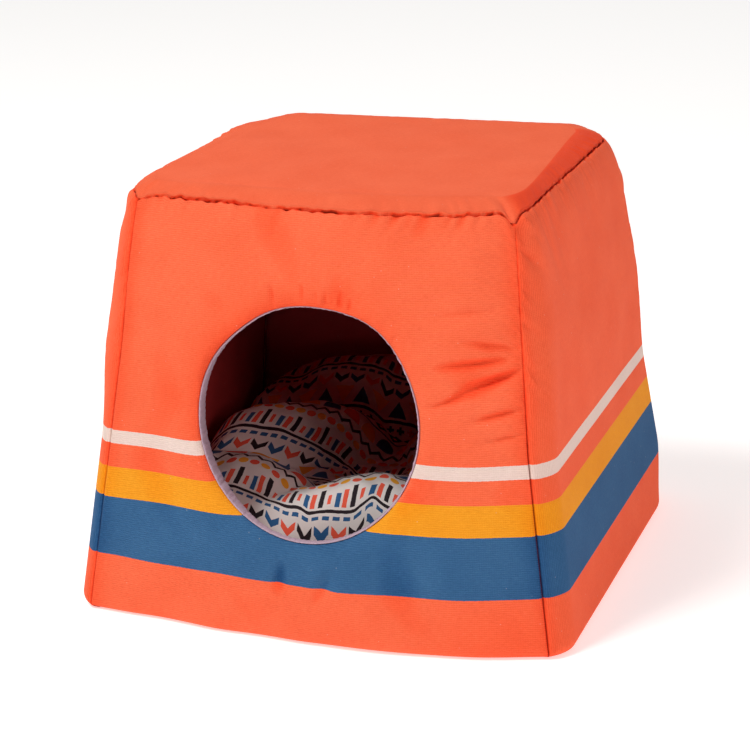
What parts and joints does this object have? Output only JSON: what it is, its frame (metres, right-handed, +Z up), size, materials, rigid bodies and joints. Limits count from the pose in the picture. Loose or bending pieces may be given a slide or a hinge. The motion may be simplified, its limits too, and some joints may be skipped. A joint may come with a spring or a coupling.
{
  "type": "pet house with cushion",
  "caption": "Padded cloth pet house, narrower at its flat roof, with a round doorway in a bowed front wall and a plump cushion on its floor.",
  "frame": {"origin": "centre of the walls' footprint on the surface that the house stands on, on the underside of the base", "axes": "+Z up; the doorway faces -Y; +X is the right-hand side seen from the front"},
  "size_m": [0.3956, 0.39, 0.335],
  "materials": {
    "orange_cloth": "fine ribbed woven polyester, printed with white, yellow and blue stripes",
    "base_cloth": "plain woven cloth",
    "grey_tape": "smooth woven tape",
    "grey_lining": "matte brushed cloth",
    "printed_cloth": "soft off-white cloth printed with bands of plain shapes"
  },
  "bodies": {
    "root": {"front_panel": "orange_cloth", "back_panel": "orange_cloth", "left_panel": "orange_cloth", "right_panel": "orange_cloth", "roof_panel": "orange_cloth", "base_panel": "base_cloth", "doorway_binding": "grey_tape", "lining_front": "grey_lining", "lining_back": "grey_lining", "lining_left": "grey_lining", "lining_right": "grey_lining", "lining_roof": "grey_lining", "cushion": "printed_cloth"}
  },
  "joints": []
}
